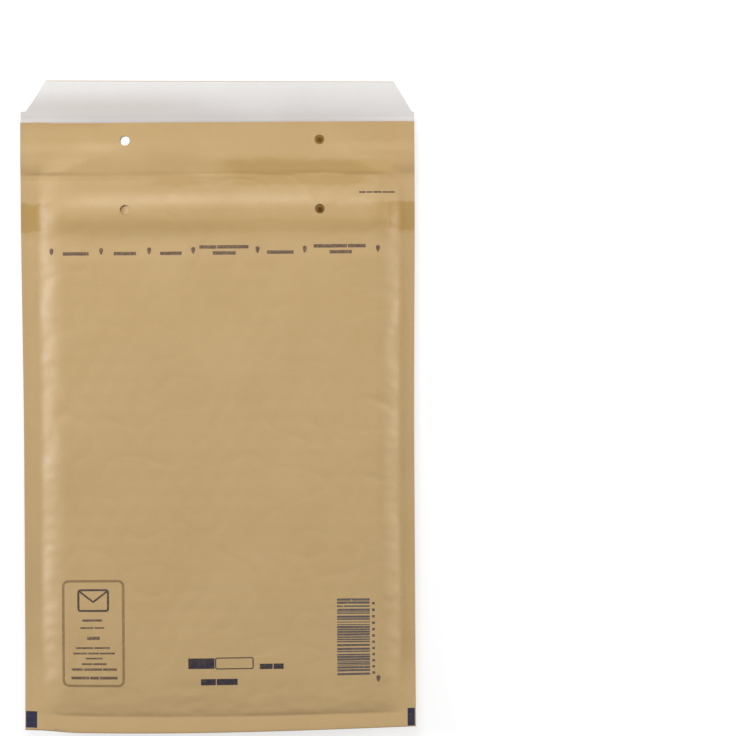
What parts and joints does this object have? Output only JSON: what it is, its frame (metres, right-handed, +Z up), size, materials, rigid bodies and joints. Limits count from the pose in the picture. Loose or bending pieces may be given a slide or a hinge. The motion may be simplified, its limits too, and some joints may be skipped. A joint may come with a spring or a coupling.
{
  "type": "padded envelope",
  "caption": "Open kraft paper envelope with a bubble film lining, clasp holes and a self-adhesive flap under a white release strip, lying flat.",
  "frame": {"origin": "middle of the envelope's outline, on the surface it lies on", "axes": "+Z up out of the front face, +Y towards the mouth and the flap, +X to the right when the front is read with the flap at the top"},
  "size_m": [0.2, 0.331, 0.011],
  "materials": {
    "kraft_outer": "matte",
    "bubble_liner": "satin",
    "glue": "satin",
    "flap_adhesive": "satin",
    "release_strip": "satin"
  },
  "bodies": {
    "root": {"kraft_outer": "kraft_outer", "bubble_liner": "bubble_liner", "front_glue_line": "glue", "back_glue_line": "glue", "flap_adhesive": "flap_adhesive", "release_strip": "release_strip"}
  },
  "joints": []
}
